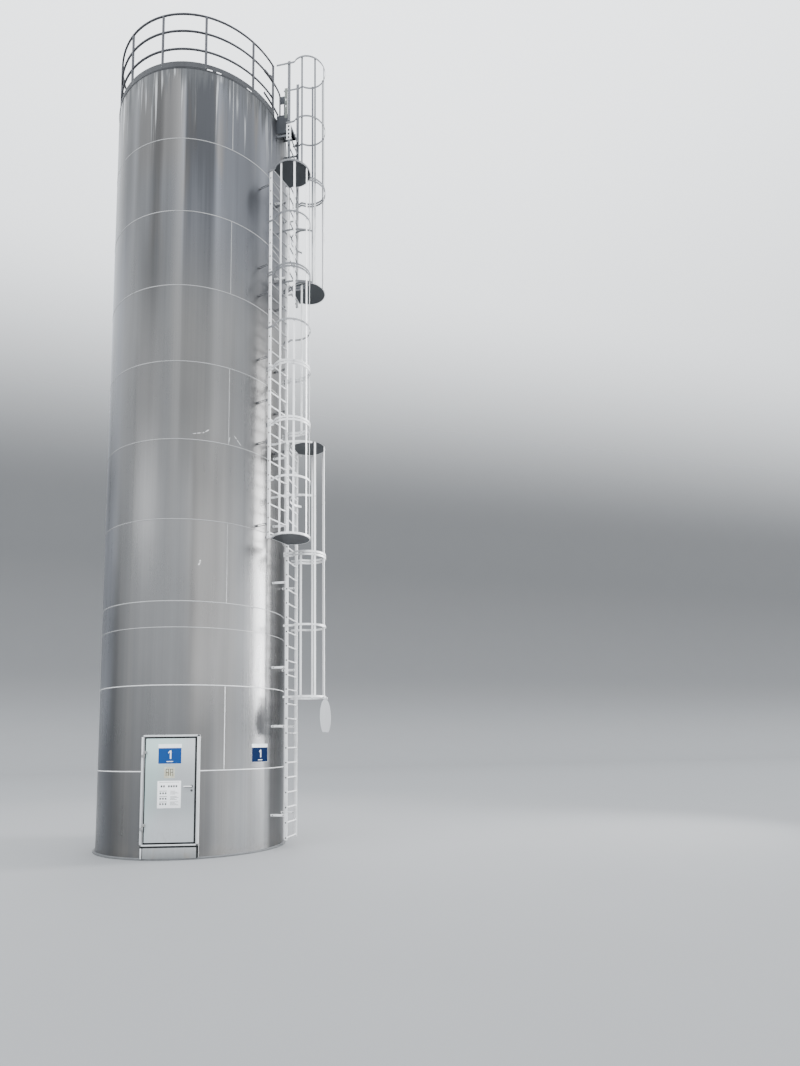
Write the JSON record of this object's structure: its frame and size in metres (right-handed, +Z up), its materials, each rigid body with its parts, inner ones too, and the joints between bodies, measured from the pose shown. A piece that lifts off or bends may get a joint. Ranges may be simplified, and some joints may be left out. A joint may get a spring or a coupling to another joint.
{
  "type": "vertical storage tank",
  "caption": "Tall cylindrical welded metal silo on a skirt with a man door, guard rail round the roof and a caged ladder in staggered flights.",
  "frame": {"origin": "bottom centre of the whole object's box, on the ground; the tank's own axis stands at x -0.4603 m, y 0.0065 m, because the ladder and its cage stick out on the +X side", "axes": "+Z up along the tank; -Y is the side with the man door; the caged ladder stands on the +X side, turned slightly towards -Y"},
  "size_m": [4.5106, 3.603, 16.3],
  "materials": {
    "shell_metal": "satin mill finish with vertical rain streaks",
    "ladder_metal": "bright satin, lightly oxidised",
    "rail_metal": "dull grey, weathered",
    "door_paint": "pale grey-green paint",
    "dark_metal": "dark grey, matt",
    "lever_metal": "brushed",
    "sign_enamel": "blue enamel with a white header",
    "notice_plastic": "white laminated sheet"
  },
  "bodies": {
    "tank": {"base_flange": "shell_metal", "skirt_hinge_side": "shell_metal", "skirt_lock_side": "shell_metal", "shell_course_02_hinge_side": "shell_metal", "shell_course_02_lock_side": "shell_metal", "shell_course_02_over_door": "shell_metal", "shell_course_03": "shell_metal", "shell_course_04": "shell_metal", "shell_course_05": "shell_metal", "shell_course_06": "shell_metal", "shell_course_07": "shell_metal", "shell_course_08": "shell_metal", "shell_course_09": "shell_metal", "shell_course_10": "shell_metal", "discharge_cone": "shell_metal", "roof_ring": "rail_metal", "roof_cone": "shell_metal", "manhole_neck": "shell_metal", "manhole_lid": "shell_metal", "guard_rail_1": "rail_metal", "guard_rail_2": "rail_metal", "guard_rail_3": "rail_metal", "guard_rail_4": "rail_metal", "landing_plate": "rail_metal", "ladder_low": "ladder_metal", "ladder_middle": "ladder_metal", "ladder_high": "ladder_metal", "cage_low": "ladder_metal", "cage_middle": "ladder_metal", "cage_high": "ladder_metal", "cage_low_top_plate": "ladder_metal", "cage_middle_floor_plate": "ladder_metal", "cage_middle_top_plate": "ladder_metal", "cage_high_floor_plate": "ladder_metal", "door_frame": "shell_metal", "door_hinge_1": "shell_metal", "door_hinge_2": "shell_metal", "wall_sign": "sign_enamel"},
    "door": {"door_leaf": "door_paint", "lever_rose": "dark_metal", "door_sign": "sign_enamel", "notice_sheet": "notice_plastic"},
    "lever": {"door_lever": "lever_metal"},
    "trapdoor": {"cage_trapdoor": "ladder_metal"}
  },
  "joints": [
    {"name": "door_hinge", "type": "hinge", "parent": "tank", "child": "door", "pos_m": [-0.8953, -1.7685, 1.18], "axis": [0, 0, -1], "range_deg": [0, 110]},
    {"name": "door_lever_pivot", "type": "hinge", "parent": "door", "child": "lever", "pos_m": [-0.0883, -1.7735, 1.24], "axis": [0, -1, 0], "range_deg": [0, 40], "stiffness_Nm_per_rad": 2, "springref_deg": -28.65},
    {"name": "cage_trapdoor_hinge", "type": "hinge", "parent": "tank", "child": "trapdoor", "pos_m": [2.1658, -0.6825, 2.8], "axis": [0.2538, 0.9673, 0], "range_deg": [0, 90]}
  ]
}
